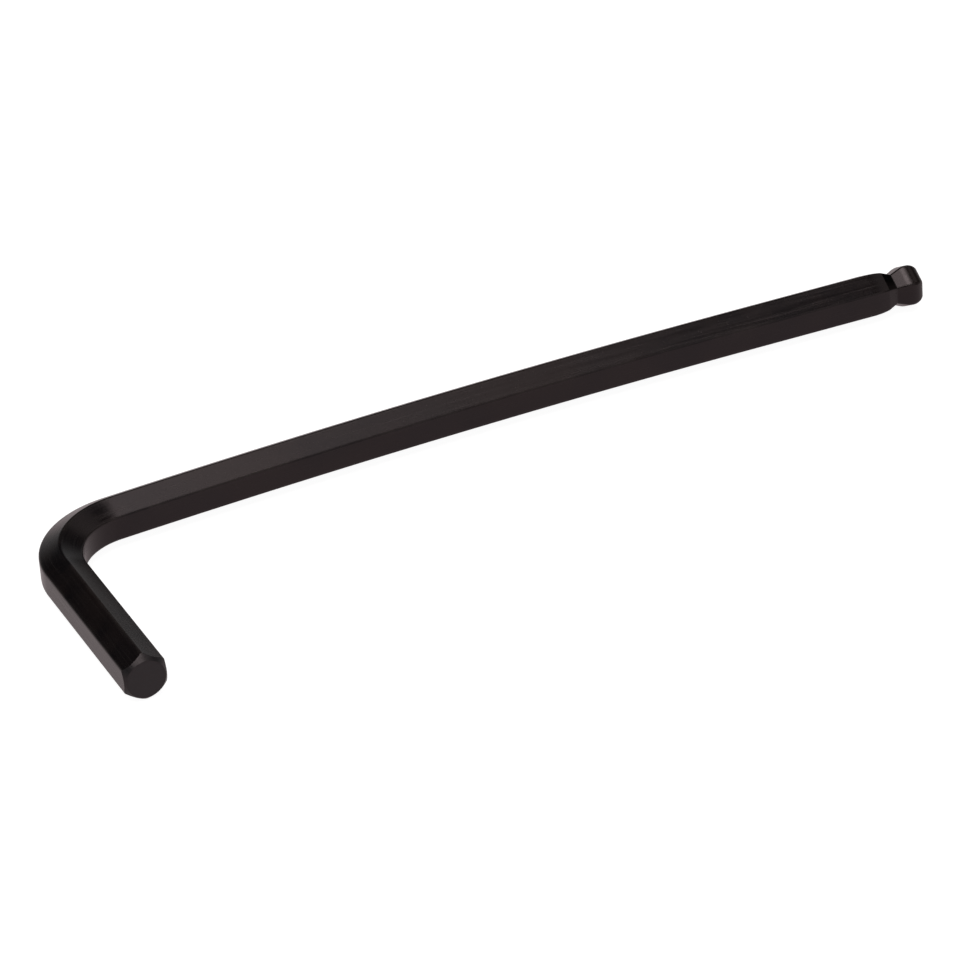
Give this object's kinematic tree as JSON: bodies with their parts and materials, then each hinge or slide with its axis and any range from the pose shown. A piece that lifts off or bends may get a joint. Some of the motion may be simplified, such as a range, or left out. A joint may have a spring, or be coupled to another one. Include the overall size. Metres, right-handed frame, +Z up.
{
  "type": "hex key",
  "caption": "Bent hexagonal steel key with a plain chamfered short arm and a ball end on the long arm, for turning socket screws.",
  "frame": {"origin": "middle of the box round the key, on the surface that it lies on", "axes": "+X along the long arm towards its ball end, the short arm points along -Y, +Z up out of the plane of the bend"},
  "size_m": [0.0578, 0.0186, 0.0028],
  "materials": {
    "black_steel": "black oxide on drawn steel, satin, worn brown-grey on the edges"
  },
  "bodies": {
    "root": {"hex_key": "black_steel"}
  },
  "joints": []
}
